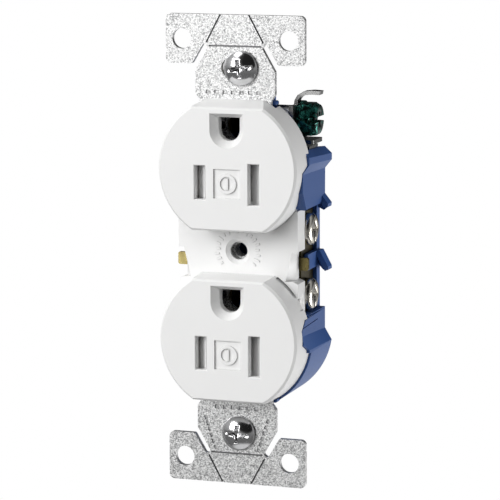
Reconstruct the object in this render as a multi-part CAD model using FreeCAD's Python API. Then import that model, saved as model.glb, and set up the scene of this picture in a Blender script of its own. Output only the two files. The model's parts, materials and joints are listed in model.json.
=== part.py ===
"""Duplex wall outlet with shuttered sockets, side-wired and push-in terminals.

Millimetres.  X to the right seen from the front, Y into the wall, Z up along the strap.
The origin is on the plate-screw axis, in the plane where the strap's ears rest on the wall.
"""
import FreeCAD, Part
import math
import os

V = FreeCAD.Vector

# --- mounting strap -------------------------------------------------------------------------
STRAP_T = 1.3              # sheet thickness; its back is the plane Y = 0
STRAP_HALF_L = 53.55       # half the overall length
EAR_HALF_W = 16.4
EAR_EDGE_Z = 42.45         # inner edge of an ear
EAR_HOLE = (12.6, 48.0, 2.28)   # x, z and radius
NECK_HALF_W = 9.42
JOG_Z = 33.4               # outer face of the leg that steps back behind the cover
SPINE_Y = 2.7              # front of the spine behind the bridge
SPINE_HALF_W = 3.4
ENTRY_HALF_W = 5.6         # strap width inside the housing ends
SCREW_PITCH = 83.34 / 2    # box-screw spacing, halved
SCREW_X = {"upper": 1.5, "lower": 0.6}   # where each screw sits in its sideways slot
PLATE_TAP_R = 1.6          # 6-32 plate-screw thread

# --- front cover ----------------------------------------------------------------------------
FACE_Z = 19.45             # half the spacing of the two faces
FACE_Y = -7.3              # front plane
BEVEL_Y = -6.7
SKIRT_Y = 1.35             # back edge of the round skirts
FACE_R = (15.8, 16.3, 16.75)        # front, behind the bevel, back edge
FLAT_IN = (13.45, 13.9, 14.25)       # flat on the bridge side, same three stations
FLAT_OUT = (13.45, 13.9, 15.9)       # flat on the strap side
FACE_T = 1.8
BRIDGE_Y = 0.1
BRIDGE_T = 2.0
WING_HALF_W = 14.25
WING_BACK_Y = 5.3
WING_Z = (-13.8, 9.7)

# --- what the plug meets, in the frame of one face (z from the face centre) ------------------
BLADE_X = 6.35
BLADE_HALF_T = 1.31
BLADE_Z = {-1: (-6.87, 0.79), 1: (-7.79, 1.48)}   # hot side, neutral side
BLADE_MID = -3.1
GROUND_Z = 8.8
GROUND_R = 2.5

# --- back body ------------------------------------------------------------------------------
BODY_FRONT_Y = 1.4
BODY_BACK_Y = 16.5
FLOOR_Y = 14.2
SIDE_X = 15.45
BODY_R = 17.3
BODY_TOP_Z = 34.4
TERM_Z = -3.0              # centre of the terminal zone
TERM_TOP, TERM_BOT = 9.8, -14.6
GROUND_WALL_X = 7.6        # right side of the body beside the ground terminal
POSTS = [(-8.2, 30.9), (10.1, 8.9), (-8.2, -30.9), (8.2, -30.9)]
# each wire hook is a leaning plate with a thin web behind it, as X-Z outlines
HOOK_UP = ([(15.0, 11.7), (15.5, 11.7), (17.1, 9.7), (17.0, 8.9), (16.3, 8.6), (15.0, 10.3)],
           [(14.0, 11.4), (15.5, 11.6), (16.6, 8.9), (15.4, 7.9), (14.0, 8.6)])
HOOK_MID = ([(14.3, -1.2), (15.1, -1.2), (17.1, -4.9), (17.1, -5.6), (16.3, -5.9), (14.3, -2.4)],
            [(14.0, -1.4), (15.1, -1.3), (16.6, -5.4), (15.3, -6.0), (14.0, -4.6)])
HOOKS = (HOOK_UP, HOOK_MID)

# --- contacts and terminals -----------------------------------------------------------------
PLATE_X = (12.4, 13.3)
PLATE_Y = (5.4, 14.1)
PLATE_HALF_L = 11.5
TERM_SCREW_DZ = 7.5
TERM_SCREW_Y = 9.0
WIRE_DZ = 3.9
WIRE_X = 11.0
WIRE_HOLE_R = 1.15
GROUND_SCREW = (8.7, 29.65)           # y, z
RIVET_X = 4.6              # rivets of a ground contact, each side of the pin
PIN_CLEAR_R = 3.35         # hole round the ground pin
RIVET_HOLE_R = 0.85
BRACKET_RIVET = (9.4, 29.5)           # x, z
TERM_HOLE_R = 2.06         # clearance round a terminal screw's shank


def box(x0, x1, y0, y1, z0, z1):
    return Part.makeBox(x1 - x0, y1 - y0, z1 - z0, V(x0, y0, z0))


def cyl(r, base, axis, length):
    return Part.makeCylinder(r, length, V(*base), V(*axis))


def cone(r0, r1, base, axis, length):
    return Part.makeCone(r0, r1, length, V(*base), V(*axis))


def prism_y(points, y0, y1):
    """Extrude an X-Z polygon from y0 to y1."""
    wire = Part.makePolygon([V(x, y0, z) for x, z in points + points[:1]])
    return Part.Face(wire).extrude(V(0, y1 - y0, 0))


def prism_z(points, z0, z1):
    """Extrude an X-Y polygon from z0 to z1."""
    wire = Part.makePolygon([V(x, y, z0) for x, y in points + points[:1]])
    return Part.Face(wire).extrude(V(0, 0, z1 - z0))


def prism_x(points, x0, x1):
    """Extrude a Y-Z polygon from x0 to x1."""
    wire = Part.makePolygon([V(x0, y, z) for y, z in points + points[:1]])
    return Part.Face(wire).extrude(V(x1 - x0, 0, 0))


def fuse(shapes):
    first, rest = shapes[0], shapes[1:]
    return first.fuse(rest).removeSplitter() if rest else first


def mirror_x(shape):
    return shape.mirror(V(0, 0, 0), V(1, 0, 0))


def mirror_z(shape):
    return shape.mirror(V(0, 0, 0), V(0, 0, 1))


def fillet_along(shape, axis, radius, keep):
    """Round the straight edges that run along one axis and satisfy keep(mid point)."""
    picked = []
    for e in shape.Edges:
        if e.Curve.TypeId != "Part::GeomLine":
            continue
        a, b = e.Vertexes[0].Point, e.Vertexes[-1].Point
        d = b.sub(a)
        if d.Length > 1e-6 and abs(d.normalize().dot(V(*axis))) > 0.999 and keep((a + b) * 0.5):
            picked.append(e)
    return shape.makeFillet(radius, picked) if picked else shape


# --- mounting strap ---------------------------------------------------------------------------

def strap_end():
    """Upper neck and ears as a flat plate."""
    right = [(0, STRAP_HALF_L), (EAR_HALF_W, STRAP_HALF_L), (EAR_HALF_W, EAR_EDGE_Z), (10.2, EAR_EDGE_Z),
             (7.45, 47.1), (6.35, 46.3), (NECK_HALF_W, 40.95), (NECK_HALF_W, 35.8), (8.5, 34.5),
             (8.5, JOG_Z), (0, JOG_Z)]
    left = [(-x, z) for x, z in right[1:-1]][::-1]
    plate = prism_y(right + left, -STRAP_T, 0)
    plate = fillet_along(plate, (0, 1, 0), 1.2, lambda p: abs(p.x) > 16)
    return fillet_along(plate, (0, 1, 0), 0.45, lambda p: 10 < abs(p.x) < 11 or p.z > 46 and abs(p.x) < 8)


def score(x0, z0, x1, z1, width=0.38, depth=0.45):
    """Straight groove in the front of the strap between two points."""
    length = math.hypot(x1 - x0, z1 - z0)
    bar = Part.makeBox(length, depth, width, V(0, -STRAP_T, -width / 2))
    bar.rotate(V(0, 0, 0), V(0, 1, 0), -math.degrees(math.atan2(z1 - z0, x1 - x0)))
    bar.translate(V(x0, 0, z0))
    return bar


def mounting_strap():
    ends = [strap_end(), mirror_z(strap_end())]
    cuts = []
    for s in (1, -1):
        cuts.append(score(-6.2, 46.55 * s, 6.2, 46.55 * s))
        for side in (1, -1):
            cuts.append(score(6.75 * side, 47.3 * s, 3.35 * side, 53.6 * s))
            x, z, r = EAR_HOLE
            cuts.append(cyl(r, (side * x, -2, s * z), (0, 1, 0), 3))
        slot = fuse([box(-1.2, 1.2, -2, 1, s * SCREW_PITCH - 2.05, s * SCREW_PITCH + 2.05)]
                    + [cyl(2.05, (e * 1.2, -2, s * SCREW_PITCH), (0, 1, 0), 3) for e in (1, -1)])
        cuts.append(slot)
    # shallow stamped dashes under the upper screw and around the lower one
    for k in range(7):
        cuts.append(score(-6.9 + 2.0 * k, 36.2, -5.9 + 2.0 * k, 36.2, 0.8, 0.25))
    for k in range(6):
        cuts.append(score(-5.2 + 1.9 * k, -35.9, -4.4 + 1.9 * k, -35.9, 0.9, 0.25))
        for side in (1, -1):
            x, z = 7.6 - 0.45 * k, -38.2 - 1.35 * k
            cuts.append(score(side * x, z, side * (x - 0.3), z - 0.85, 0.6, 0.25))
    for s in (1, -1):                      # relief where the housing's lips lie behind each neck
        lo, hi = sorted((s * 33.0, s * 34.8))
        cuts.append(box(-10, 10, -0.12, 1, lo, hi))
    body = fuse(ends)
    body = body.cut(cuts)
    legs, spine_y1 = [], SPINE_Y + STRAP_T
    for s in (1, -1):
        lo, hi = sorted((s * (JOG_Z - STRAP_T), s * (JOG_Z + 0.01)))
        legs.append(box(-ENTRY_HALF_W, ENTRY_HALF_W, -STRAP_T, spine_y1, lo, hi))
    spine = [box(-SPINE_HALF_W, SPINE_HALF_W, SPINE_Y, spine_y1, -JOG_Z, JOG_Z)]
    for z0, z1 in ((24.4, JOG_Z), (-14.4, -6.9), (-JOG_Z, -31.0)):
        spine.append(box(-ENTRY_HALF_W, ENTRY_HALF_W, SPINE_Y, spine_y1, z0, z1))
    spine.append(box(0, 11.3, SPINE_Y, spine_y1, 26.4, 32.6))          # arm to the ground bracket
    spine.append(cyl(4.6, (0, SPINE_Y, 0), (0, 1, 0), STRAP_T))
    spine.append(cyl(2.9, (0, SPINE_Y, 0), (0, 1, 0), 3.3))            # drawn collar for the tap
    strap = fuse([body] + legs + spine)
    holes = [cyl(PLATE_TAP_R, (0, 0, 0), (0, 1, 0), 8)]
    for c in (FACE_Z, -FACE_Z):
        holes.append(cyl(PIN_CLEAR_R, (0, 2, c + GROUND_Z), (0, 1, 0), 3))
        for side in (1, -1):
            holes.append(cyl(RIVET_HOLE_R, (side * RIVET_X, 2, c + GROUND_Z), (0, 1, 0), 3))
    holes.append(cyl(RIVET_HOLE_R, (BRACKET_RIVET[0], 2, BRACKET_RIVET[1]), (0, 1, 0), 3))
    return strap.cut(holes)


# --- front cover ------------------------------------------------------------------------------

def face_block(radii, flat_in, flat_out, stations, up):
    """Round block with two flats whose sizes are given at each Y station.

    up is +1 where the strap side of the face is at +Z.
    """
    parts = []
    for k in range(len(stations) - 1):
        y0, y1 = stations[k], stations[k + 1]
        drum = cone(radii[k], radii[k + 1], (0, y0, 0), (0, 1, 0), y1 - y0)
        slab = prism_x([(y0, -up * flat_in[k]), (y1, -up * flat_in[k + 1]),
                        (y1, up * flat_out[k + 1]), (y0, up * flat_out[k])], -20, 20)
        parts.append(drum.common(slab))
    return fuse(parts)


def ground_profile(half_w, top, y0, y1, r=None):
    """D-shaped prism: round below, square above."""
    r = half_w if r is None else r
    return fuse([box(-half_w, half_w, y0, y1, GROUND_Z, top),
                 cyl(r, (0, y0, GROUND_Z), (0, 1, 0), y1 - y0)])


def ground_mouth():
    """Funnel from the wide D in the face down to the pin hole."""
    y0, y1, wide = FACE_Y - 0.001, FACE_Y + 2.0, 3.97
    rings = []
    for half_w, top, y in ((wide, 12.6, y0), (GROUND_R, 11.6, y1)):
        pts = [(-half_w, GROUND_Z), (half_w, GROUND_Z), (half_w, top), (-half_w, top), (-half_w, GROUND_Z)]
        rings.append(Part.makePolygon([V(x, y, z) for x, z in pts]))
    low = cone(wide, GROUND_R, (0, y0, GROUND_Z), (0, 1, 0), y1 - y0)
    low = low.common(box(-9, 9, -20, 20, 0, GROUND_Z + 0.01))
    return fuse([Part.makeLoft(rings, True, True), low])


def flared_mouth(x0, x1, z0, z1, flare):
    """Narrow slope around a rectangular opening in a face."""
    rings = []
    for grow, y in ((flare, FACE_Y - 0.001), (0.0, FACE_Y + flare)):
        a, b, c, d = x0 - grow, x1 + grow, z0 - grow, z1 + grow
        rings.append(Part.makePolygon([V(a, y, c), V(b, y, c), V(b, y, d), V(a, y, d), V(a, y, c)]))
    return Part.makeLoft(rings, True, True)


def face_openings(up):
    """Everything cut from the front of one face."""
    cuts = [ground_mouth(), ground_profile(GROUND_R, 11.6, -5.4, 0)]
    for side, (z0, z1) in BLADE_Z.items():
        x0, x1 = side * BLADE_X - BLADE_HALF_T, side * BLADE_X + BLADE_HALF_T
        cuts += [box(x0, x1, FACE_Y - 1, -3.6, z0, z1), flared_mouth(x0, x1, z0, z1, 0.16)]
    badge = box(-3.16, 3.16, FACE_Y - 1, FACE_Y + 0.45, -6.49, 0.15)
    ring = cyl(2.2, (0, FACE_Y, -3.17), (0, 1, 0), 1).cut(cyl(1.6, (0, FACE_Y - 1, -3.17), (0, 1, 0), 3))
    bar = box(-0.3, 0.3, FACE_Y, FACE_Y + 1, -4.4, -1.94)
    cuts.append(badge.cut([ring.common(box(-3, 3, FACE_Y + 0.1, 0, -7, 1)),
                           bar.common(box(-3, 3, FACE_Y + 0.1, 0, -7, 1))]))
    return cuts


ARM_FRONT_Y = -3.3
ARM_STEP_Y = -0.2
# z of an arm's outline: outer edge, step, front corner, inner front corner, inner edge
UPPER_ARM = (22.7, 20.1, 18.7, 14.3, 10.2)
LOWER_ARM = (-22.4, -21.8, -20.2, -17.0, -14.9)


def arm_outline(arm, y_back, grow=0.0):
    """Y-Z outline of a body arm that reaches forward beside the cover's skirt."""
    s = 1 if arm[0] > 0 else -1
    edge, step, top = (z + s * grow for z in arm[:3])
    low, end = (z - s * grow for z in arm[3:])
    front, behind = ARM_FRONT_Y - grow, ARM_STEP_Y - grow
    return [(y_back, edge), (behind, edge), (behind, step), (front, top), (front, low), (behind, end),
            (y_back, end)]


def front_cover():
    stations = (FACE_Y, BEVEL_Y, SKIRT_Y)
    outer, inner, cuts, collars = [], [], [], []
    for up in (1, -1):
        at = V(0, 0, up * FACE_Z)
        blk = face_block(FACE_R, FLAT_IN, FLAT_OUT, stations, up)
        blk.translate(at)
        outer.append(blk)
        hollow = cyl(FACE_R[0] - 0.9, (0, FACE_Y + FACE_T, 0), (0, 1, 0), 30)
        hollow = hollow.common(box(-20, 20, -20, 40, -12.5, 12.5))
        hollow.translate(at)
        inner.append(hollow)
        for c in face_openings(up):
            c.translate(at)
            cuts.append(c)
        collar = ground_profile(GROUND_R + 1.1, 12.5, -5.6, -3.4)
        collar.translate(at)
        collars.append(collar)
    z0, z1 = WING_Z
    outer.append(box(-WING_HALF_W, WING_HALF_W, BRIDGE_Y, WING_BACK_Y, z0, z1))
    inner.append(box(-WING_HALF_W + 1.5, WING_HALF_W - 1.5, BRIDGE_Y + BRIDGE_T, 30, z0, z1))
    shell = fuse(outer).cut(inner)
    posts = [cyl(1.5, (x, FACE_Y + 1, z), (0, 1, 0), SKIRT_Y - FACE_Y - 1) for x, z in POSTS]
    ticks = []
    for k in range(-9, 10):                # short raised marks round the upper part of the hole
        tick = box(-0.2, 0.2, BRIDGE_Y - 0.22, BRIDGE_Y + 0.3, 4.2 + 0.25 * (k % 2), 5.2 + 0.2 * (k % 3))
        tick.rotate(V(0, 0, 0), V(0, 1, 0), 14 * k)
        ticks.append(tick)
    shell = fuse([shell] + collars + posts + ticks)
    cuts.append(cyl(2.05, (0, -1, 0), (0, 1, 0), 6))
    cuts.append(cone(2.95, 2.0, (0, BRIDGE_Y - 0.001, 0), (0, 1, 0), 0.8))
    cuts.append(cyl(3.3, (0, 1.5, 0), (0, 1, 0), 2))         # thinned behind the hole
    for x, z in POSTS:
        cuts.append(cyl(0.95, (x, -4.5, z), (0, 1, 0), 8))
    # break-off-tab notches with sloped outer corners, one per side
    for s in (1, -1):
        outline = [(13.1, 0.4), (16, 0.4), (16, -7.6), (WING_HALF_W, -6.9), (13.1, -6.4)]
        notch = prism_y([(s * x, z) for x, z in outline], -2, 8)
        rings = []
        for x_front, z in ((11.3, -6.4), (13.0, 0.4)):
            corners = [(x_front, BRIDGE_Y - 0.01), (16, BRIDGE_Y - 0.01), (16, 2.6), (13.1, 2.6)]
            rings.append(Part.makePolygon([V(s * x, y, z) for x, y in corners + corners[:1]]))
        slope = Part.makeLoft(rings, True, True)
        lo, hi = sorted((s * 12.3, s * 16))
        cuts += [notch, slope, box(lo, hi, PLATE_Y[0] - 1.0, 6, -6.4, 0.4)]
        for arm in (UPPER_ARM, LOWER_ARM):
            cuts.append(prism_x(arm_outline(arm, SKIRT_Y + 4, 0.08), s * 12.0, s * 19.0))
    # narrow groove between the right wing and the shoulder of the lower face
    ring = cyl(FACE_R[2] + 0.2, (0, BRIDGE_Y - 1, 0), (0, 1, 0), 2.4)
    ring = ring.cut(cyl(FACE_R[2] - 0.25, (0, -3, 0), (0, 1, 0), 9))
    groove = ring.common(prism_y([(0, 0), (17.4, 7.6), (17.4, 17.0), (11.4, 17.0)], -3, 3))
    groove.translate(V(0, 0, -FACE_Z))
    cuts.append(groove)
    # room for the strap where it enters each end
    for s in (1, -1):
        lo, hi = sorted((s * 31.9, s * 36.5))
        cuts.append(box(-9.6, 9.6, -STRAP_T - 0.06, 4, lo, hi))
    return shell.cut(cuts)


# --- back body --------------------------------------------------------------------------------

def end_drum(radius, up, y0, y1):
    return cyl(radius, (0, y0, up * FACE_Z), (0, 1, 0), y1 - y0)


# X-Z profiles of the arms, at their front end and at the back of the body
UPPER_PROFILE = ([(13.4, 22.4), (15.4, 23.5), (17.1, 22.1), (17.1, 20.6), (16.6, 18.5), (16.6, 10.0),
                  (13.4, 10.0)],
                 [(13.4, 22.4), (15.4, 22.6), (17.1, 21.05), (17.1, 19.6), (15.5, 17.6), (SIDE_X, 10.0),
                  (13.4, 10.0)])
LOWER_PROFILE = ([(13.4, -14.0), (16.4, -14.0), (16.4, -18.1), (17.2, -21.6), (17.2, -22.6), (13.4, -22.6)],
                 [(13.4, -14.0), (SIDE_X, -14.0), (SIDE_X, -19.6), (17.06, -22.3), (17.06, -22.6),
                  (13.4, -22.6)])


def arm_solid(profile, s):
    """Loft of an arm's profile from its front end to the back of the body, on the side s."""
    rings = []
    for points, y in zip(profile, (ARM_FRONT_Y, BODY_BACK_Y)):
        rings.append(Part.makePolygon([V(s * x, y, z) for x, z in points + points[:1]]))
    return Part.makeLoft(rings, True, True)


def back_body():
    y0, y1 = BODY_FRONT_Y, BODY_BACK_Y
    solids = [box(-SIDE_X, SIDE_X, y0, y1, -19.4, 18.2)]
    # round lower end with its flared shoulders
    solids.append(end_drum(BODY_R, -1, y0, y1).common(box(-20, 20, 0, 20, -40, -22.2)))
    solids.append(prism_y([(-17.06, -22.3), (17.06, -22.3), (15.45, -19.6), (15.45, -19.3), (-15.45, -19.3),
                           (-15.45, -19.6)], y0, y1))
    # upper end: round on the left, cut away on the right for the ground terminal
    wall = [(GROUND_WALL_X, 0), (GROUND_WALL_X, 4.2), (4.4, 13.0), (3.7, y1)]
    solids.append(end_drum(BODY_R, 1, y0, y1).common(prism_z(wall + [(-20, y1), (-20, 0)], 21.9, BODY_TOP_Z)))
    solids.append(prism_y([(-17.1, 21.9), (0, 21.9), (0, 18.1), (-15.45, 18.1), (-17.12, 20.9)], y0, y1))
    solids.append(prism_y([(0, 22.3), (13.4, 22.4), (13.5, 18.1), (0, 18.1)], y0, y1))
    solids.append(arm_solid(UPPER_PROFILE, 1).common(box(0, 20, y0, y1, 17.5, 24)))
    # shelf that closes the cover behind its upper right corner
    shelf = end_drum(FACE_R[2] - 0.45, 1, y0, y0 + 0.65)
    solids.append(shelf.common(box(GROUND_WALL_X - 1, 20, 0, 20, 22.0, BODY_TOP_Z)))
    # lips that fill the housing behind each neck of the strap
    for s in (1, -1):
        lo, hi = sorted((s * 33.55, s * BODY_TOP_Z))
        lip = box(-8.0, 9.3, 0.05, y0 + 0.5, lo, hi)
        solids.append(fillet_along(lip, (0, 1, 0), 0.4, lambda p: p.x > 9 and abs(p.z) > 34))
    # cavity, open to the front
    fy = FLOOR_Y
    beside_ground = [(-14, -9), (6.4, -9), (6.4, 4.9), (3.85, 12.6), (3.75, fy), (-14, fy)]
    cavity = [box(-13.4, 13.4, -9, fy, -19.5, 20.6),
              end_drum(15.6, -1, y0 - 1, fy).common(box(-14, 14, -9, fy, -40, -19.4)),
              end_drum(15.6, 1, y0 - 1, fy).common(prism_z(beside_ground, 19.4, 32.7))]
    body = fuse(solids).cut(cavity)
    # arms beside the skirts, each with its flared facets
    extra = []
    for s in (1, -1):
        for arm, profile in ((UPPER_ARM, UPPER_PROFILE), (LOWER_ARM, LOWER_PROFILE)):
            outline = prism_x(arm_outline(arm, y1), s * 14.0, s * 18.0)
            extra.append(arm_solid(profile, s).common(outline))
        # walls that close the cavity towards the terminal zone
        lo, hi = sorted((s * 12.0, s * (SIDE_X - 0.5)))
        extra.append(box(lo, hi, y0, fy + 0.5, TERM_TOP, TERM_TOP + 1.4))
        extra.append(box(lo, hi, y0, fy + 0.5, TERM_BOT - 1.4, TERM_BOT))
    # insulating walls beside the blade contacts, and tubes for the assembly screws
    for c in (FACE_Z, -FACE_Z):
        for s in (1, -1):
            lo, hi = sorted((s * 3.7, s * 4.4))
            extra.append(box(lo, hi, 4.3, fy + 0.5, c + BLADE_MID - 3.2, c + BLADE_MID + 3.2))
    for x, z in POSTS:
        front = BRIDGE_Y + BRIDGE_T + 0.05 if z < WING_Z[1] and z > WING_Z[0] else y0
        extra.append(cyl(1.8, (x, front, z), (0, 1, 0), fy - front + 0.5))
    body = fuse([body] + extra)
    cuts = []
    for s in (1, -1):
        lo, hi = sorted((s * 12.35, s * 20))
        cuts.append(box(lo, hi, -9, fy, TERM_BOT, TERM_TOP))
        lo, hi = sorted((s * 14.2, s * 20))
        cuts.append(box(lo, hi, fy - 1, 20, TERM_BOT, TERM_TOP))
        for k in (1, -1):
            z = TERM_Z + k * WIRE_DZ
            cuts.append(cyl(WIRE_HOLE_R, (s * WIRE_X, fy - 1, z), (0, 1, 0), 5))
            cuts.append(cone(WIRE_HOLE_R, 1.75, (s * WIRE_X, y1 - 0.6, z), (0, 1, 0), 0.61))
            lo, hi = sorted((s * 8.7, s * 9.4))
            cuts.append(box(lo, hi, fy - 1, 20, z - 1.2, z + 1.2))        # release slot
        # fine moulding line along the lower arm
        line = [(16.1, -4), (17.5, -4), (17.5, 10), (15.45, 10)]
        cuts.append(prism_z([(s * x, y) for x, y in line], -16.5, -16.28))
    for x, z in POSTS:
        cuts.append(cyl(1.0, (x, -2, z), (0, 1, 0), 22))
        cuts.append(cyl(2.3, (x, y1 - 1.3, z), (0, 1, 0), 2))
    cuts.append(box(-5.8, 5.8, y0 - 1, 4.15, 31.9, 33.52))                # strap leg
    cuts.append(box(5.5, 8.1, 2.6, 4.15, 26.2, 33.3))                     # strap arm
    cuts.append(box(-5.5, 5.5, y1 - 0.3, 20, -13.5, 13.5))                # plain panel on the back
    # upper left corner trimmed to stay behind the neck of the strap
    cuts.append(prism_y([(-8.0, 33.75), (-8.0, 37), (-20, 37), (-20, 30.0), (-12.6, 31.2)], y0 - 1, y1 + 1))
    body = body.cut(cuts)
    # dividers between the two screws of a side, and the wire hooks
    more = []
    for s in (1, -1):
        lo, hi = sorted((s * 13.4, s * 14.4))
        more.append(box(lo, hi, 7.2, y1, -4.8, -1.2))
        for plate, web in HOOKS:
            more.append(prism_y([(s * x, z) for x, z in plate], 13.6, y1))
            more.append(prism_y([(s * x, z) for x, z in web], 15.7, y1))
    return fuse([body] + more)


# --- contacts ---------------------------------------------------------------------------------

def contact_strip(tab_x):
    """Right-hand strip; the left one is a mirror image with a longer tab."""
    outer = [(7.15, 12.1), (7.15, 0.9), (7.7, -0.8), (8.45, -0.55), (7.95, 1.1), (7.95, 12.1)]
    inner = [(5.55, 12.1), (5.55, 0.9), (5.0, -0.8), (4.25, -0.55), (4.75, 1.1), (4.75, 12.1)]
    parts = []
    for s in (1, -1):
        mid = s * FACE_Z + BLADE_MID
        z0, z1 = mid - 2.75, mid + 2.75
        parts += [prism_z(outer, z0, z1), prism_z(inner, z0, z1), box(4.75, 7.95, 11.3, 12.1, z0, z1)]
        near = TERM_Z + s * 0.6
        lo, hi = sorted((near, mid + s * 2.75))
        parts.append(box(7.15, 7.95, 4.0, 12.1, lo, hi))
        lo, hi = sorted((near, TERM_Z + s * 2.6))
        parts.append(box(7.5, PLATE_X[1], 11.3, 12.1, lo, hi))
        lo, hi = sorted((near, TERM_Z + s * PLATE_HALF_L))
        parts.append(box(PLATE_X[0], PLATE_X[1], PLATE_Y[0], PLATE_Y[1], lo, hi))
    tab = box(PLATE_X[0], tab_x, PLATE_Y[0] - 0.8, PLATE_Y[0], TERM_Z - 1.45, TERM_Z + 1.45)
    tab = fillet_along(tab, (0, 1, 0), 0.5, lambda p: p.x > tab_x - 0.2)
    strip = fuse(parts + [tab])
    cuts = [cyl(TERM_HOLE_R, (11, TERM_SCREW_Y, TERM_Z + s * TERM_SCREW_DZ), (1, 0, 0), 4) for s in (1, -1)]
    return strip.cut(cuts)


def recessed_head(head, r, top, depth, slot_w, slot_l):
    """Cut a slot and a cross into a head whose axis is +Z and whose top is at z = top."""
    cuts = [box(-slot_l, slot_l, -slot_w / 2, slot_w / 2, top - depth, top + 1)]
    cross = fuse([box(-r, r, -0.45, 0.45, top - depth * 1.35, top + 1),
                  box(-0.45, 0.45, -r, r, top - depth * 1.35, top + 1)])
    return head.cut(cuts + [cross])


def along_x(shape, x, y, z):
    """Stand a +Z shape along +X with its origin at (x, y, z)."""
    shape.rotate(V(0, 0, 0), V(0, 1, 0), 90)
    shape.translate(V(x, y, z))
    return shape


def terminal_screw(s, k):
    """Binding-head screw of one side (s) and end (k) of the terminal zone."""
    seat = PLATE_X[1] + 0.04
    head = cyl(3.65, (0, 0, 0), (0, 0, 1), 1.5).fuse(cone(3.65, 3.0, (0, 0, 1.5), (0, 0, 1), 0.6))
    head = recessed_head(head, 1.6, 2.1, 1.0, 0.95, 4)
    shank = cyl(2.0, (0, 0, -4.2), (0, 0, 1), 4.3).fuse(cone(1.6, 2.0, (0, 0, -4.6), (0, 0, 1), 0.4))
    screw = along_x(fuse([head, shank]), seat, TERM_SCREW_Y, TERM_Z + k * TERM_SCREW_DZ)
    return screw if s > 0 else mirror_x(screw)


def ground_bracket():
    y0, y1 = SPINE_Y, 13.0
    top, bot = 33.1, 25.2
    parts = [box(11.4, 12.3, y0, y1, bot - 0.9, top),
             box(8.0, 12.3, 4.05, 4.95, 26.4, top),
             fillet_along(box(11.4, 16.3, 5.2, 12.2, bot - 0.9, bot), (0, 0, 1), 0.6, lambda p: p.x > 16),
             box(11.4, 15.2, 5.6, 12.0, bot - 2.1, bot - 1.5), box(11.4, 12.3, 5.6, 12.0, bot - 2.1, bot)]
    lip = [(11.4, 33.0), (12.3, 33.0), (12.3, 34.05), (12.95, 34.8), (14.1, 35.25), (15.6, 35.4),
           (17.4, 35.35), (17.6, 36.2), (15.6, 36.3), (13.7, 36.1), (12.2, 35.2), (11.5, 34.0)]
    parts.append(prism_y(lip, 6.2, 8.8))
    y, z = GROUND_SCREW
    rivet_hole = cyl(RIVET_HOLE_R, (BRACKET_RIVET[0], 3, BRACKET_RIVET[1]), (0, 1, 0), 3)
    return fuse(parts).cut([cyl(TERM_HOLE_R, (11, y, z), (1, 0, 0), 3), rivet_hole])


def ground_screw():
    head = cyl(4.15, (0, 0, 0), (0, 0, 1), 0.8)
    corners = [V(4.2 * math.cos(math.radians(60 * k)), 4.2 * math.sin(math.radians(60 * k)), 0.8)
               for k in range(7)]
    hexagon = Part.Face(Part.makePolygon(corners)).extrude(V(0, 0, 3.5))
    chamfer = cone(5.2, 3.3, (0, 0, 0.8), (0, 0, 1), 3.5).fuse(cyl(4.3, (0, 0, 0), (0, 0, 1), 3.0))
    hexagon = hexagon.common(chamfer)
    head = recessed_head(fuse([head, hexagon]), 1.7, 4.3, 1.7, 1.2, 5)
    head.rotate(V(0, 0, 0), V(0, 0, 1), 90)
    shank = cyl(2.0, (0, 0, -3.6), (0, 0, 1), 3.7).fuse(cone(1.6, 2.0, (0, 0, -4.0), (0, 0, 1), 0.4))
    return along_x(fuse([head, shank]), 12.34, *GROUND_SCREW)


def ground_contact(c):
    """Clip behind the strap whose two arms hold the plug's ground pin."""
    z = c + GROUND_Z
    y0 = SPINE_Y + STRAP_T + 0.03
    base = box(-5.5, 5.5, y0, y0 + 0.8, z - 3.4, z + 3.4)
    parts = [base.cut(cyl(PIN_CLEAR_R, (0, y0 - 1, z), (0, 1, 0), 3))]
    for s in (1, -1):
        arm = [(2.85, y0), (3.6, y0), (3.6, y0 + 1.7), (4.1, 7.2), (3.2, 10.4), (3.2, 11.6), (3.5, 12.4),
               (2.95, 12.6), (2.45, 11.8), (2.45, 10.2), (3.35, 7.0), (2.85, y0 + 1.7)]
        pts = [(s * x, y) for x, y in arm]
        parts.append(prism_z(pts, z - 2.2, z + 2.2))
    clip = fuse(parts)
    return clip.cut([cyl(RIVET_HOLE_R, (s * RIVET_X, 3, z), (0, 1, 0), 3) for s in (1, -1)]
                    + [cyl(2.44, (0, 3, z), (0, 1, 0), 4)])


def rivet(x, z, behind):
    """Rivet through the strap and one sheet behind it."""
    y0, y1 = SPINE_Y - 0.02, SPINE_Y + STRAP_T + behind
    return fuse([cyl(0.82, (x, y0 - 0.3, z), (0, 1, 0), y1 - y0 + 0.6),
                 cone(0.8, 0.95, (x, y0 - 0.6, z), (0, 1, 0), 0.6),
                 cone(0.95, 0.8, (x, y1, z), (0, 1, 0), 0.6)])


def ground_rivets():
    shapes = [rivet(s * RIVET_X, c + GROUND_Z, 0.85) for c in (FACE_Z, -FACE_Z) for s in (1, -1)]
    shapes.append(rivet(*BRACKET_RIVET, 0.97))
    return Part.makeCompound(shapes)


# --- shutters ---------------------------------------------------------------------------------

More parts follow.
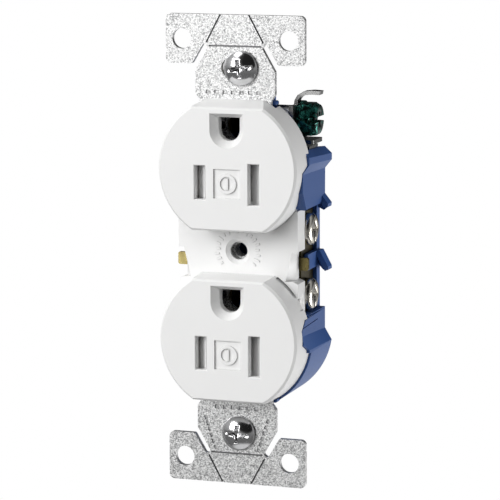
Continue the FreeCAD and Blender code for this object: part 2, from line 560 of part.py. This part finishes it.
def shutter(c):
    """Slider that covers both blade slots; it moves to +X to open them."""
    y0, y1 = FACE_Y + FACE_T + 0.08, -2.6
    z0, z1 = -8.05, 1.7
    mid = (y0 + y1) / 2
    blk = prism_z([(-8.05, y1), (-8.05, y1 - 0.6), (-6.0, y0), (-1.2, y0), (-1.2, mid + 0.4),
                   (1.7, mid + 0.4), (1.7, y1)], z0, z1)
    right = prism_z([(4.6, y1), (4.6, y1 - 0.6), (7.75, y0), (7.95, y0), (7.95, y1)], z0, z1)
    rails = [box(1.6, 4.7, y1 - 1.2, y1, z0, -7.9 + 0.5), box(1.6, 4.7, y1 - 1.2, y1, z1 - 0.6, z1)]
    slider = fuse([blk, right] + rails)
    groove = box(-4.6, 1.75, y0 + 0.4, y1 + 1, BLADE_MID - 1.3, BLADE_MID + 1.3)
    pocket = box(-5.8, -4.95, y0 - 1, y1 - 0.45, -7.3, 1.1)
    slider = slider.cut([groove, pocket])
    slider.translate(V(0, 0, c))
    return slider


def shutter_carrier(c):
    """Plate behind the shutter, with its guide rails and the post the spring pushes on."""
    y0, y1, rail_y, rail = -2.5, -1.4, FACE_Y + FACE_T + 0.02, 0.85
    x0, x1, z0, z1 = -9.2, 12.1, -9.0, 2.7
    parts = [box(x0, x1, y0, y1, z0, z1),
             box(x0, x1, rail_y, y0 + 0.01, z0, z0 + rail),
             box(x0, x1, rail_y, y0 + 0.01, z1 - rail, z1),
             box(x0, x0 + 1.0, rail_y, y0 + 0.01, z0, z1),
             box(x1 - rail, x1, rail_y, y0 + 0.01, z0, z1),
             box(0.5, 1.4, -4.85, y0 + 0.01, BLADE_MID - 1.0, BLADE_MID + 1.0)]
    plate = fuse(parts)
    cuts = []
    for s, (lo, hi) in BLADE_Z.items():
        cuts.append(box(s * BLADE_X - 1.4, s * BLADE_X + 1.4, y0 - 0.05, 0, lo - 0.1, hi + 0.1))
    plate = plate.cut(cuts).common(cyl(14.75, (0, -8, 0), (0, 1, 0), 10))
    plate.translate(V(0, 0, c))
    return plate


def shutter_spring(c):
    """Compression spring between the carrier's post and the shutter's end wall."""
    x0, x1, r, wire = -4.3, 0.3, 0.76, 0.14
    turns = 6.0
    helix = Part.makeHelix((x1 - x0 - 2 * wire) / turns, x1 - x0 - 2 * wire, r)
    ring = Part.Wire([Part.makeCircle(wire, V(r, 0, 0), V(0, 1, 0))])
    coil = Part.Wire(helix.Edges).makePipeShell([ring], True, True)
    coil.rotate(V(0, 0, 0), V(0, 1, 0), 90)
    coil.translate(V(x0 + wire, -4.0, c + BLADE_MID))
    return coil


# --- screws that fasten the device ---------------------------------------------------------------

def mounting_screw(end):
    """Truss-head box screw with a combination recess and a plain neck under its head, towards -Y."""
    s = 1 if end == "upper" else -1
    dome_r = (3.95 ** 2 + 1.75 ** 2) / (2 * 1.75)
    dome = Part.makeSphere(dome_r, V(0, 0, 2.35 - dome_r)).common(cyl(3.95, (0, 0, 0.6), (0, 0, 1), 3))
    head = fuse([cyl(3.95, (0, 0, 0), (0, 0, 1), 0.6), dome])
    head = recessed_head(head, 2.0, 2.35, 1.1, 1.0, 5)
    thread = cyl(1.72, (0, 0, -12.0), (0, 0, 1), 7.0).fuse(cone(1.3, 1.72, (0, 0, -12.5), (0, 0, 1), 0.5))
    screw = fuse([head, cyl(1.5, (0, 0, -5.0), (0, 0, 1), 5.1), thread])
    screw.rotate(V(0, 0, 0), V(0, 0, 1), 8 if s > 0 else -6)
    screw.rotate(V(0, 0, 0), V(1, 0, 0), 90)
    screw.translate(V(SCREW_X[end], -STRAP_T - 0.05, s * SCREW_PITCH))
    return screw


def screw_retainer(end):
    """Washer on the box screw's plain neck; the thread can't pass it, so the screw stays in the strap."""
    s = 1 if end == "upper" else -1
    x, z = SCREW_X[end], s * SCREW_PITCH
    disc = cyl(4.3, (x, 2.6, z), (0, 1, 0), 0.9)
    return disc.cut(cyl(1.57, (x, 0, z), (0, 1, 0), 6))


def assembly_screws():
    shapes = []
    for x, z in POSTS:
        head = cyl(2.15, (0, 0, 0), (0, 0, 1), 0.75).fuse(cone(2.15, 1.6, (0, 0, 0.75), (0, 0, 1), 0.4))
        head = recessed_head(head, 1.0, 1.15, 0.6, 0.6, 3)
        screw = fuse([head, cyl(0.9, (0, 0, -18.0), (0, 0, 1), 18.1)])
        screw.rotate(V(0, 0, 0), V(1, 0, 0), -90)
        screw.translate(V(x, BODY_BACK_Y - 1.25, z))
        shapes.append(screw)
    return Part.makeCompound(shapes)


def wire_clamp(s, k):
    """Push-in leaf: a foot beside the contact strip and a blade that leans towards the terminal plate."""
    z = TERM_Z + k * WIRE_DZ
    pts = [(8.05, 5.6), (8.05, 13.95), (8.6, 13.95), (11.9, 8.9), (11.6, 8.7), (8.5, 13.35), (8.4, 13.3),
           (8.4, 5.6)]
    return prism_z([(s * x, y) for x, y in pts], z - 1.05, z + 1.05)


def build():
    nodes = {"mounting_strap": mounting_strap(), "front_cover": front_cover(), "back_body": back_body(),
             "neutral_contact": contact_strip(15.3), "hot_contact": mirror_x(contact_strip(16.1)),
             "ground_bracket": ground_bracket(), "ground_screw": ground_screw(),
             "ground_rivets": ground_rivets(), "assembly_screws": assembly_screws()}
    for end, k in (("upper", 1), ("lower", -1)):
        c = k * FACE_Z
        nodes["mounting_screw_" + end] = mounting_screw(end)
        nodes["screw_retainer_" + end] = screw_retainer(end)
        nodes["ground_contact_" + end] = ground_contact(c)
        nodes["shutter_" + end] = shutter(c)
        nodes["shutter_carrier_" + end] = shutter_carrier(c)
        nodes["shutter_spring_" + end] = shutter_spring(c)
        for side, s in (("neutral", 1), ("hot", -1)):
            nodes["%s_screw_%s" % (side, end)] = terminal_screw(s, k)
            nodes["wire_clamp_%s_%s" % (side, end)] = wire_clamp(s, k)
    return nodes


os.makedirs("parts", exist_ok=True)
for node, shape in build().items():
    shape.exportStep("parts/" + node + ".step")
    print(node, len(shape.Solids), shape.isValid(), round(shape.Volume, 1))
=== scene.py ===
import json
import math

import bmesh
import bpy
from mathutils import Matrix, Vector

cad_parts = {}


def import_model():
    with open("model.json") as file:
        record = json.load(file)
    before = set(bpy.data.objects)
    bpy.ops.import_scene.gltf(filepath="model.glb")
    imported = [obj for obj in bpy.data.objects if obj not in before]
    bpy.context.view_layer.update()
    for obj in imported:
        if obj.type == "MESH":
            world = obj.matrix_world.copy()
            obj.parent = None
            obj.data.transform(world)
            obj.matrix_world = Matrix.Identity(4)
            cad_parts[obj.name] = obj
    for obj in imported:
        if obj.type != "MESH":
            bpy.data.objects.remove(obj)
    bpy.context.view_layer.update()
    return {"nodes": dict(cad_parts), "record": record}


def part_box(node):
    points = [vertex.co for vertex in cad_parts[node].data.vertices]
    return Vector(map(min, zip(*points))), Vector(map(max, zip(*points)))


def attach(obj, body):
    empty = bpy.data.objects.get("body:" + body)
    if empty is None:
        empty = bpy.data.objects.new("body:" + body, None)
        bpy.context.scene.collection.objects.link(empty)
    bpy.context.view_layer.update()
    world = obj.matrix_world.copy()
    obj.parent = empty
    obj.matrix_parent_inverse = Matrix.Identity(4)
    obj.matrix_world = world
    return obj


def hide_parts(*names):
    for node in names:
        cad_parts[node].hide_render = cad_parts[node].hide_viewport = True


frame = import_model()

MM = 0.001

# The camera, fitted to the standard spacings of the device. Angles are in radians, lengths in mm.
CAM_YAW = 0.3354
CAM_PITCH = 0.1639
CAM_ROLL = -0.0043
CAM_DISTANCE = 632.12
CAM_OFFSET = (3.209, 0.5001)      # sideways and up, along the picture
STRAP_FRONT_Y = -1.3              # front of the strap, which the camera looks at
SENSOR = 36.0
NEAR_CLIP = 0.01
FOCAL_RATIO = 5.6051              # focal length over the picture's width


# --- node helpers -------------------------------------------------------------------------------

# places of a Mix node's sockets when it mixes colours
MIX_FACTOR = 0
MIX_A = 6
MIX_B = 7
MIX_RESULT = 2
# the painted groove shade fades in between these shares of open sky
OPEN_SKY = (0.35, 0.85)           # share of open sky seen from inside a groove and from a free surface


class Nodes:
    """A small builder around one node tree."""

    def __init__(self, tree):
        self.tree = tree
        tree.nodes.clear()

    def add(self, kind, **settings):
        node = self.tree.nodes.new(kind)
        inputs = settings.pop("inputs", {})
        for key, value in settings.items():
            setattr(node, key, value)
        for key, value in inputs.items():
            socket = node.inputs[key]
            if isinstance(value, bpy.types.NodeSocket):
                self.tree.links.new(value, socket)
            else:
                socket.default_value = value
        return node

    def coords(self, stretch=(1, 1, 1)):
        at = self.add("ShaderNodeTexCoord").outputs["Object"]
        if stretch == (1, 1, 1):
            return at
        return self.add("ShaderNodeMapping", inputs={"Vector": at, "Scale": stretch}).outputs["Vector"]

    def noise(self, scale, detail=2.0, rough=0.5, at=None, distort=0.0):
        node = self.add("ShaderNodeTexNoise", inputs={
            "Vector": at or self.coords(), "Scale": scale, "Detail": detail,
            "Roughness": rough, "Distortion": distort})
        return node.outputs["Fac"]

    def cells(self, scale, at):
        """One flat random colour for each cell."""
        node = self.add("ShaderNodeTexVoronoi", inputs={"Vector": at, "Scale": scale})
        return node.outputs["Color"]

    def ramp(self, value, stops):
        """stops are pairs of a place from 0 to 1 and a colour."""
        node = self.add("ShaderNodeValToRGB", inputs={"Fac": value})
        ramp = node.color_ramp
        while len(ramp.elements) < len(stops):
            ramp.elements.new(0.5)
        for element, (place, colour) in zip(ramp.elements, stops):
            element.position = place
            element.color = (*colour, 1.0)
        return node.outputs["Color"]

    def span(self, value, low, high, from_low=0.0, from_high=1.0, curve="LINEAR"):
        """Carries value from the range from_low..from_high to low..high, held at both ends."""
        node = self.add("ShaderNodeMapRange", interpolation_type=curve, inputs={
            "Value": value, "From Min": from_low, "From Max": from_high, "To Min": low, "To Max": high})
        return node.outputs["Result"]

    def soft_span(self, value, low, high, from_low, from_high):
        return self.span(value, low, high, from_low, from_high, curve="SMOOTHSTEP")

    def mix(self, factor, a, b, blend="MIX"):
        """Colour a where factor is 0, colour b where it is 1."""
        node = self.add("ShaderNodeMix", data_type="RGBA", blend_type=blend)
        for place, value in ((MIX_FACTOR, factor), (MIX_A, a), (MIX_B, b)):
            socket = node.inputs[place]
            if isinstance(value, bpy.types.NodeSocket):
                self.tree.links.new(value, socket)
            elif isinstance(value, tuple):
                socket.default_value = (*value, 1.0)
            else:
                socket.default_value = value
        return node.outputs[MIX_RESULT]

    def maths(self, operation, a, b):
        node = self.add("ShaderNodeMath", operation=operation)
        for socket, value in zip(node.inputs, (a, b)):
            if isinstance(value, bpy.types.NodeSocket):
                self.tree.links.new(value, socket)
            else:
                socket.default_value = value
        return node.outputs[0]

    def painted_groove_shade(self, reach, dark):
        """Painted shade: 1 on open surfaces, falling to dark inside grooves and corners narrower than reach
        (metres).
        """
        node = self.add("ShaderNodeAmbientOcclusion", samples=8, only_local=True, inputs={"Distance": reach})
        return self.span(node.outputs["AO"], dark, 1.0, *OPEN_SKY)

    def bump(self, height, depth, strength):
        """depth in metres."""
        inputs = {"Height": height, "Distance": depth, "Strength": strength}
        return self.add("ShaderNodeBump", inputs=inputs).outputs["Normal"]


def material(name, build):
    """build gives the values or sockets that go into a Principled shader."""
    mat = bpy.data.materials.new(name)
    mat.use_nodes = True
    nodes = Nodes(mat.node_tree)
    shader = nodes.add("ShaderNodeBsdfPrincipled")
    for key, value in build(nodes).items():
        socket = shader.inputs[key]
        if isinstance(value, bpy.types.NodeSocket):
            nodes.tree.links.new(value, socket)
        else:
            socket.default_value = value
    out = nodes.add("ShaderNodeOutputMaterial")
    nodes.tree.links.new(shader.outputs["BSDF"], out.inputs["Surface"])
    return mat


# --- materials ----------------------------------------------------------------------------------

# Colours are linear, scales of noise are per metre, and depths and reaches are in metres.

SPANGLE = 4300                    # zinc crystals to the metre
SPANGLE_WOBBLE = 0.0003           # how far the crystals' outlines stray
METAL_BUMP = 0.000008
PLASTIC_BUMP = 0.000012
# painted shade on the brass: darkened towards +X, where the right-hand contact lies in shade
PAINTED_SHADE_FROM_X = -0.004           # the brass darkens from here
PAINTED_SHADE_TO_X = 0.008              # to here


def galvanised(n):
    """Zinc spangle: small crystals of strongly differing tone and tilt, with fine pits."""
    wobble = n.add("ShaderNodeTexNoise", inputs={"Vector": n.coords(), "Scale": 1500.0}).outputs["Color"]
    shift = n.add("ShaderNodeVectorMath", operation="SCALE", inputs={
        0: wobble, "Scale": SPANGLE_WOBBLE}).outputs[0]
    at = n.add("ShaderNodeVectorMath", operation="ADD", inputs={0: n.coords(), 1: shift}).outputs[0]
    crystals = n.add("ShaderNodeSeparateColor", inputs={"Color": n.cells(SPANGLE, at)}).outputs[0]
    fine = n.noise(5200, 2, 0.6)
    large = n.noise(220, 2)
    tone = n.ramp(crystals, [
        (0.0, (0.16, 0.162, 0.165)), (0.5, (0.69, 0.69, 0.69)), (1.0, (0.99, 0.99, 0.985))])
    speck = n.ramp(fine, [(0.36, (0.30, 0.30, 0.30)), (0.50, (1, 1, 1))])
    tone = n.mix(0.5, tone, speck, "MULTIPLY")
    tone = n.mix(n.span(large, 0.0, 0.15), tone, (0.66, 0.67, 0.67))
    # painted shade: grooves, scores and sheet edges darkened almost to black
    tone = n.mix(n.painted_groove_shade(0.0006, 0.0), (0.10, 0.10, 0.105), tone)
    height = n.maths("ADD", n.maths("MULTIPLY", crystals, 0.35), n.maths("MULTIPLY", fine, 0.65))
    return {"Base Color": tone, "Metallic": 0.75, "Roughness": n.span(crystals, 0.30, 0.52),
            "Normal": n.bump(height, 0.00003, 0.9)}


def white_plastic(n):
    """Satin moulded thermoplastic with a very faint texture."""
    grain = n.noise(3800, 2)
    waves = n.noise(120, 2)
    tone = n.mix(waves, (0.865, 0.865, 0.860), (0.890, 0.890, 0.884))
    # painted shade: grooves and inner corners of the moulding darkened
    tone = n.mix(n.painted_groove_shade(0.0005, 0.55), (0.30, 0.30, 0.295), tone)
    height = n.maths("ADD", n.maths("MULTIPLY", grain, 0.3), waves)
    return {"Base Color": tone, "Roughness": n.span(grain, 0.30, 0.40), "Specular IOR Level": 0.45,
            "Subsurface Weight": 0.06, "Subsurface Radius": (0.0012, 0.0012, 0.0011),
            "Normal": n.bump(height, 0.00001, 0.6)}


def blue_plastic(n):
    """Moulded blue thermoplastic: soft sheen, faint flow marks and fine grain."""
    grain = n.noise(4200, 3)
    flow = n.noise(90, 3, 0.5, n.coords((1, 0.35, 1)), 0.6)
    tone = n.mix(flow, (0.027, 0.085, 0.280), (0.038, 0.109, 0.345))
    return {"Base Color": tone, "Roughness": n.span(grain, 0.36, 0.48), "Specular IOR Level": 0.5,
            "Normal": n.bump(grain, PLASTIC_BUMP, 0.7)}


def metal(low, high, rough, stretch, scale=1400, stain=None, painted_shade=None):
    """Rolled or plated metal: streaks between the colours low and high over a soft mottle.

    The streaks run along the axis whose stretch is small. stain is the colour of scattered spots,
    and painted_shade the colour of painted shade that darkens the surface towards +X.
    """
    def build(n):
        streak = n.noise(scale, 3, 0.6, n.coords(stretch))
        mottle = n.noise(420, 3)
        tone = n.mix(streak, low, high)
        if stain:
            tone = n.mix(n.span(mottle, 0.0, 0.55, 0.48, 0.75), tone, stain)
        # painted shade: the colour grows darker towards +X
        if painted_shade:
            across = n.add("ShaderNodeSeparateXYZ", inputs={"Vector": n.coords()}).outputs["X"]
            tone = n.mix(n.span(across, 0.0, 0.9, PAINTED_SHADE_FROM_X, PAINTED_SHADE_TO_X), tone, painted_shade)
        return {"Base Color": tone, "Metallic": 1.0,
                "Roughness": n.span(n.maths("ADD", streak, mottle), *rough, 0.6, 1.4),
                "Normal": n.bump(streak, METAL_BUMP, 0.6)}
    return build


def passivated(n):
    """Uneven green passivation: nearly black hollows between glossy teal patches."""
    patches = n.noise(950, 3, 0.6)
    tone = n.ramp(patches, [(0.44, (0.001, 0.006, 0.005)), (0.60, (0.030, 0.210, 0.170))])
    return {"Base Color": tone, "Metallic": 0.8, "Roughness": n.span(patches, 0.14, 0.34),
            "Normal": n.bump(patches, 0.00006, 0.8)}


def plain_plastic(low, high, rough):
    """Moulded plastic with a fine grain, its colour drifting between low and high."""
    def build(n):
        grain = n.noise(3500, 3)
        return {"Base Color": n.mix(n.noise(260, 2), low, high), "Roughness": n.span(grain, *rough),
                "Normal": n.bump(grain, PLASTIC_BUMP, 0.7)}
    return build


def fibre(n):
    """Pressed fibre: short crossed hairs and a soft surface."""
    hairs = n.noise(2600, 4, 0.7, n.coords((1, 1, 0.25)))
    cross = n.noise(2600, 4, 0.7, n.coords((0.25, 1, 1)))
    both = n.maths("ADD", hairs, cross)
    tone = n.ramp(n.maths("MULTIPLY", both, 0.5), [(0.35, (0.47, 0.43, 0.35)), (0.62, (0.74, 0.70, 0.60))])
    return {"Base Color": tone, "Roughness": 0.82, "Normal": n.bump(both, 0.00003, 0.8)}


EVEN = (1, 1, 1)                  # no streaks
SCREW_MOTTLE = 900

MATERIALS = {
    "galvanised_steel": galvanised,
    "white_moulding": white_plastic,
    "blue_moulding": blue_plastic,
    # the brass's last colour is painted shade over its right-hand parts
    "brass": metal((0.32, 0.26, 0.095), (0.42, 0.36, 0.17), (0.22, 0.40), (1, 1, 0.08),
                   stain=(0.20, 0.14, 0.05), painted_shade=(0.060, 0.048, 0.018)),
    # near-black tone: painted shade, standing for the shade deep inside the ground hole where this contact
    # sits
    "dull_bronze": metal((0.030, 0.021, 0.010), (0.085, 0.060, 0.026), (0.35, 0.55), (1, 1, 0.1)),
    "brass_screw": metal((0.66, 0.50, 0.18), (0.80, 0.63, 0.28), (0.14, 0.28), EVEN, SCREW_MOTTLE),
    "nickel_screw": metal((0.62, 0.59, 0.53), (0.80, 0.78, 0.73), (0.14, 0.30), EVEN, SCREW_MOTTLE,
                          stain=(0.45, 0.38, 0.25)),
    "bright_screw": metal((0.66, 0.66, 0.67), (0.84, 0.84, 0.85), (0.10, 0.22), EVEN, SCREW_MOTTLE),
    "green_screw": passivated,
    "plain_steel": metal((0.07, 0.07, 0.07), (0.34, 0.34, 0.335), (0.18, 0.34), (0.12, 1, 1)),
    "grey_shutter": plain_plastic((0.81, 0.81, 0.81), (0.85, 0.85, 0.85), (0.45, 0.6)),
    "natural_plastic": plain_plastic((0.75, 0.745, 0.73), (0.80, 0.795, 0.78), (0.45, 0.6)),
    "retainer_fibre": fibre,
}


def dress():
    """Give every CAD node its slot's material."""
    made = {slot: material("mat_" + slot, build) for slot, build in MATERIALS.items()}
    of_node = {p["node"]: p["material_slot"] for p in frame["record"]["subparts"]}
    for name, obj in frame["nodes"].items():
        obj.data.materials.clear()
        obj.data.materials.append(made[of_node[name]])
    return made


# --- threaded screws ------------------------------------------------------------------------------

THREAD_PITCH = 0.794              # 32 turns to the inch
THREAD_SEGMENTS = 40
THREAD_STEPS = 8                  # points along one pitch
ROOT_FLAT = 0.08                  # half the width of the thread's root, in pitches
FLANK = 0.34                      # width of one flank, in pitches
RUN_OUT = 0.6                     # the thread grows to full height over this part of the first pitch
TIP_RATIO = 0.72                  # radius of the end over the root's radius
SHARP_ANGLE = 32                  # degrees; sharper edges stay sharp in the shading
CUT_OVERLAP = 0.02                # the plain neck reaches this far into the thread

# a thread's outer radius, root radius and length of its pointed end
BOX_THREAD = (1.72, 1.30, 0.6)
TERMINAL_THREAD = (2.0, 1.55, 0.5)
# length of the plain neck under each head
BOX_NECK = 5.0
TERMINAL_NECK = 0.1
# where the heads' seats are, along the direction each screw points in
BOX_SEAT = STRAP_FRONT_Y - 0.05
TERMINAL_SEAT = -13.34
GROUND_SEAT = -12.34


def thread_radius(phase, major, minor):
    """Truncated 60 degree profile, phase from 0 to 1."""
    rise = 0.5 - abs(phase - 0.5)          # 0 at the root, 0.5 at the crest
    return minor + (major - minor) * min(1.0, max(0.0, (rise - ROOT_FLAT) / FLANK))


def thread_mesh(bm, base, axis, length, thread):
    """Closed threaded rod from base along axis, its end pointed."""
    major, minor, point = thread
    tip_radius = minor * TIP_RATIO
    axis = axis.normalized()
    side = axis.orthogonal().normalized()
    up = axis.cross(side)
    rows = int(length / THREAD_PITCH * THREAD_STEPS)
    rings = []
    for i in range(rows + 1):
        along = length * i / rows
        fade = min(1.0, along / (RUN_OUT * THREAD_PITCH))
        ring = []
        for j in range(THREAD_SEGMENTS):
            turn = j / THREAD_SEGMENTS
            phase = (along / THREAD_PITCH - turn) % 1.0
            r = thread_radius(phase, major, minor)
            r = minor + (r - minor) * fade
            left = length - along
            if left < point:
                r = min(r, tip_radius + (major - tip_radius) * left / point)
            spoke = side * math.cos(math.tau * turn) + up * math.sin(math.tau * turn)
            ring.append(bm.verts.new(base + axis * along * MM + spoke * r * MM))
        rings.append(ring)
    for a, b in zip(rings, rings[1:]):
        for j in range(THREAD_SEGMENTS):
            k = (j + 1) % THREAD_SEGMENTS
            bm.faces.new((a[j], a[k], b[k], b[j]))
    bm.faces.new(list(reversed(rings[0])))
    bm.faces.new(rings[-1])


def cut_screw(node, plane_at, axis):
    """Copy of a CAD screw with everything beyond the plane taken off and the cut closed."""
    bm = bmesh.new()
    bm.from_mesh(frame["nodes"][node].data)
    bmesh.ops.remove_doubles(bm, verts=bm.verts, dist=1e-7)
    cut = bmesh.ops.bisect_plane(bm, geom=bm.verts[:] + bm.edges[:] + bm.faces[:], dist=1e-7,
                                 plane_co=plane_at, plane_no=axis, clear_outer=True)
    rim = [e for e in cut["geom_cut"] if isinstance(e, bmesh.types.BMEdge)]
    if rim:
        bmesh.ops.contextual_create(bm, geom=rim)
    return bm


def smooth(obj):
    """Smooth shading that keeps sharp edges sharp."""
    obj.data.shade_smooth()
    obj.data.set_sharp_from_angle(angle=math.radians(SHARP_ANGLE))


def threaded_screw(node, slot, axis, seat, neck, thread, made):
    """Replace a CAD screw by one with a real thread.

    axis is the direction the screw points in. The thread starts neck mm beyond the head's seat.
    """
    low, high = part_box(node)
    centre = (low + high) / 2
    axis = Vector(axis)
    base = centre - axis * centre.dot(axis) + axis * seat * MM
    tip = max(low.dot(axis), high.dot(axis)) / MM
    start = base + axis * neck * MM
    bm = cut_screw(node, start + axis * CUT_OVERLAP * MM, axis)
    thread_mesh(bm, start, axis, tip - seat - neck, thread)
    mesh = bpy.data.meshes.new(node + "_threaded")
    bm.to_mesh(mesh)
    bm.free()
    mesh.materials.append(made[slot])
    obj = bpy.data.objects.new(node + "_threaded", mesh)
    bpy.context.scene.collection.objects.link(obj)
    smooth(obj)
    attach(obj, node)
    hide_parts(node)


def screws(made):
    for end in ("upper", "lower"):
        threaded_screw("mounting_screw_" + end, "bright_screw", (0, 1, 0),
                       BOX_SEAT, BOX_NECK, BOX_THREAD, made)
        for side, slot, inward in (("neutral", "nickel_screw", -1), ("hot", "brass_screw", 1)):
            threaded_screw("%s_screw_%s" % (side, end), slot, (inward, 0, 0),
                           TERMINAL_SEAT, TERMINAL_NECK, TERMINAL_THREAD, made)
    threaded_screw("ground_screw", "green_screw", (-1, 0, 0),
                   GROUND_SEAT, TERMINAL_NECK, TERMINAL_THREAD, made)


# --- stage ----------------------------------------------------------------------------------------

FLOOR_Z = -0.80
FLOOR_RADIUS = 0.7
FLOOR_FADE = (0.30, 0.62)         # the pale floor fades into the white surroundings between these radii


def floor():
    bpy.ops.mesh.primitive_circle_add(vertices=96, radius=FLOOR_RADIUS, fill_type="NGON",
                                      location=(0, 0, FLOOR_Z))
    obj = bpy.context.object
    obj.name = "floor"
    mat = bpy.data.materials.new("mat_floor")
    mat.use_nodes = True
    n = Nodes(mat.node_tree)
    tone = n.mix(n.noise(6, 2), (0.84, 0.84, 0.84), (0.87, 0.87, 0.87))
    paper = n.add("ShaderNodeBsdfDiffuse", inputs={"Color": tone})
    clear = n.add("ShaderNodeBsdfTransparent")
    radius = n.add("ShaderNodeVectorMath", operation="LENGTH", inputs={0: n.coords()}).outputs["Value"]
    both = n.add("ShaderNodeMixShader", inputs={"Fac": n.soft_span(radius, 0.0, 1.0, *FLOOR_FADE)})
    n.tree.links.new(paper.outputs[0], both.inputs[1])
    n.tree.links.new(clear.outputs[0], both.inputs[2])
    n.tree.links.new(both.outputs[0], n.add("ShaderNodeOutputMaterial").inputs["Surface"])
    obj.data.materials.append(mat)


def area(name, place, size, power, mirrored=True):
    """Square light aimed at the origin; one that isn't mirrored leaves no highlight on polished metal."""
    light = bpy.data.lights.new(name, "AREA")
    light.size = size
    light.energy = power
    obj = bpy.data.objects.new(name, light)
    obj.visible_glossy = mirrored
    bpy.context.scene.collection.objects.link(obj)
    obj.location = place
    obj.rotation_euler = (-Vector(place)).to_track_quat("-Z", "Y").to_euler()


# The room that surfaces reflect. Heights are those of a direction's Z, from -1 to 1.
WORLD_HIGH = 0.44                 # pale ceiling
WORLD_LOW = 0.15                  # dim below
WORLD_SPAN = (-0.5, 0.5)          # heights between which one turns into the other
CARD = (0.47, -0.62, 0.63)        # direction of a dark card that the screw heads reflect
CARD_TONE = 0.03
CARD_EDGE = (0.66, 0.78)          # dot products between which the card's edge lies
BEHIND_HIGH = 0.05                # dark room behind the object
BEHIND_LOW = 0.75                 # with a pale table below it
BEHIND_SPAN = (-0.45, 0.05)       # heights between which the table turns into the room
BEHIND_EDGE = (0.35, 0.75)        # a direction's Y from which the part behind starts, and where it is full


def world():
    """White to the camera; a room with a pale ceiling for everything the object reflects."""
    scene = bpy.context.scene
    scene.world = bpy.data.worlds.new("studio")
    scene.world.use_nodes = True
    n = Nodes(scene.world.node_tree)
    direction = n.add("ShaderNodeTexCoord").outputs["Generated"]
    split = n.add("ShaderNodeSeparateXYZ", inputs={"Vector": direction})
    height = split.outputs["Z"]
    tone = n.soft_span(height, WORLD_LOW, WORLD_HIGH, *WORLD_SPAN)
    toward = n.add("ShaderNodeVectorMath", operation="DOT_PRODUCT", inputs={0: direction, 1: CARD})
    tone = n.maths("MULTIPLY", tone, n.soft_span(toward.outputs["Value"], 1.0, CARD_TONE, *CARD_EDGE))
    behind = n.soft_span(height, BEHIND_LOW, BEHIND_HIGH, *BEHIND_SPAN)
    tone = n.mix(n.soft_span(split.outputs["Y"], 0.0, 1.0, *BEHIND_EDGE), tone, behind)
    lit = n.add("ShaderNodeBackground", inputs={"Color": (1, 1, 1, 1), "Strength": tone})
    seen = n.add("ShaderNodeBackground", inputs={"Color": (1, 1, 1, 1), "Strength": 1.0})
    path = n.add("ShaderNodeLightPath")
    both = n.add("ShaderNodeMixShader", inputs={"Fac": path.outputs["Is Camera Ray"]})
    n.tree.links.new(lit.outputs[0], both.inputs[1])
    n.tree.links.new(seen.outputs[0], both.inputs[2])
    out = n.add("ShaderNodeOutputWorld")
    n.tree.links.new(both.outputs[0], out.inputs["Surface"])


def lights():
    area("key", (-0.76, -0.92, 0.52), 0.7, 11.0)
    area("top", (-0.45, -0.30, 0.95), 0.5, 1.7)
    area("sheen", (-0.42, -1.10, 0.12), 0.3, 1.5)
    area("glint", (-0.42, -1.20, -0.21), 0.25, 0.55)
    area("front", (0.14, -1.05, 0.72), 0.5, 2.8, mirrored=False)
    area("right", (0.85, 0.40, -0.36), 0.5, 6.7)


def camera():
    cy, sy, cp, sp = math.cos(CAM_YAW), math.sin(CAM_YAW), math.cos(CAM_PITCH), math.sin(CAM_PITCH)
    back = Vector((sy * cp, -cy * cp, sp))
    right = Vector((cy, sy, 0))
    up = back.cross(right)
    cr, sr = math.cos(CAM_ROLL), math.sin(CAM_ROLL)
    right, up = right * cr + up * sr, up * cr - right * sr
    place = back * CAM_DISTANCE + right * CAM_OFFSET[0] + up * CAM_OFFSET[1] + Vector((0, STRAP_FRONT_Y, 0))
    data = bpy.data.cameras.new("camera")
    data.sensor_width = SENSOR
    data.lens = FOCAL_RATIO * SENSOR
    data.clip_start = NEAR_CLIP
    obj = bpy.data.objects.new("camera", data)
    bpy.context.scene.collection.objects.link(obj)
    turn = Matrix((right, up, back)).transposed().to_4x4()
    obj.matrix_world = Matrix.Translation(place * MM) @ turn
    bpy.context.scene.camera = obj


def main():
    bpy.context.scene.view_settings.view_transform = "Standard"
    made = dress()
    screws(made)
    floor()
    world()
    lights()
    camera()


main()
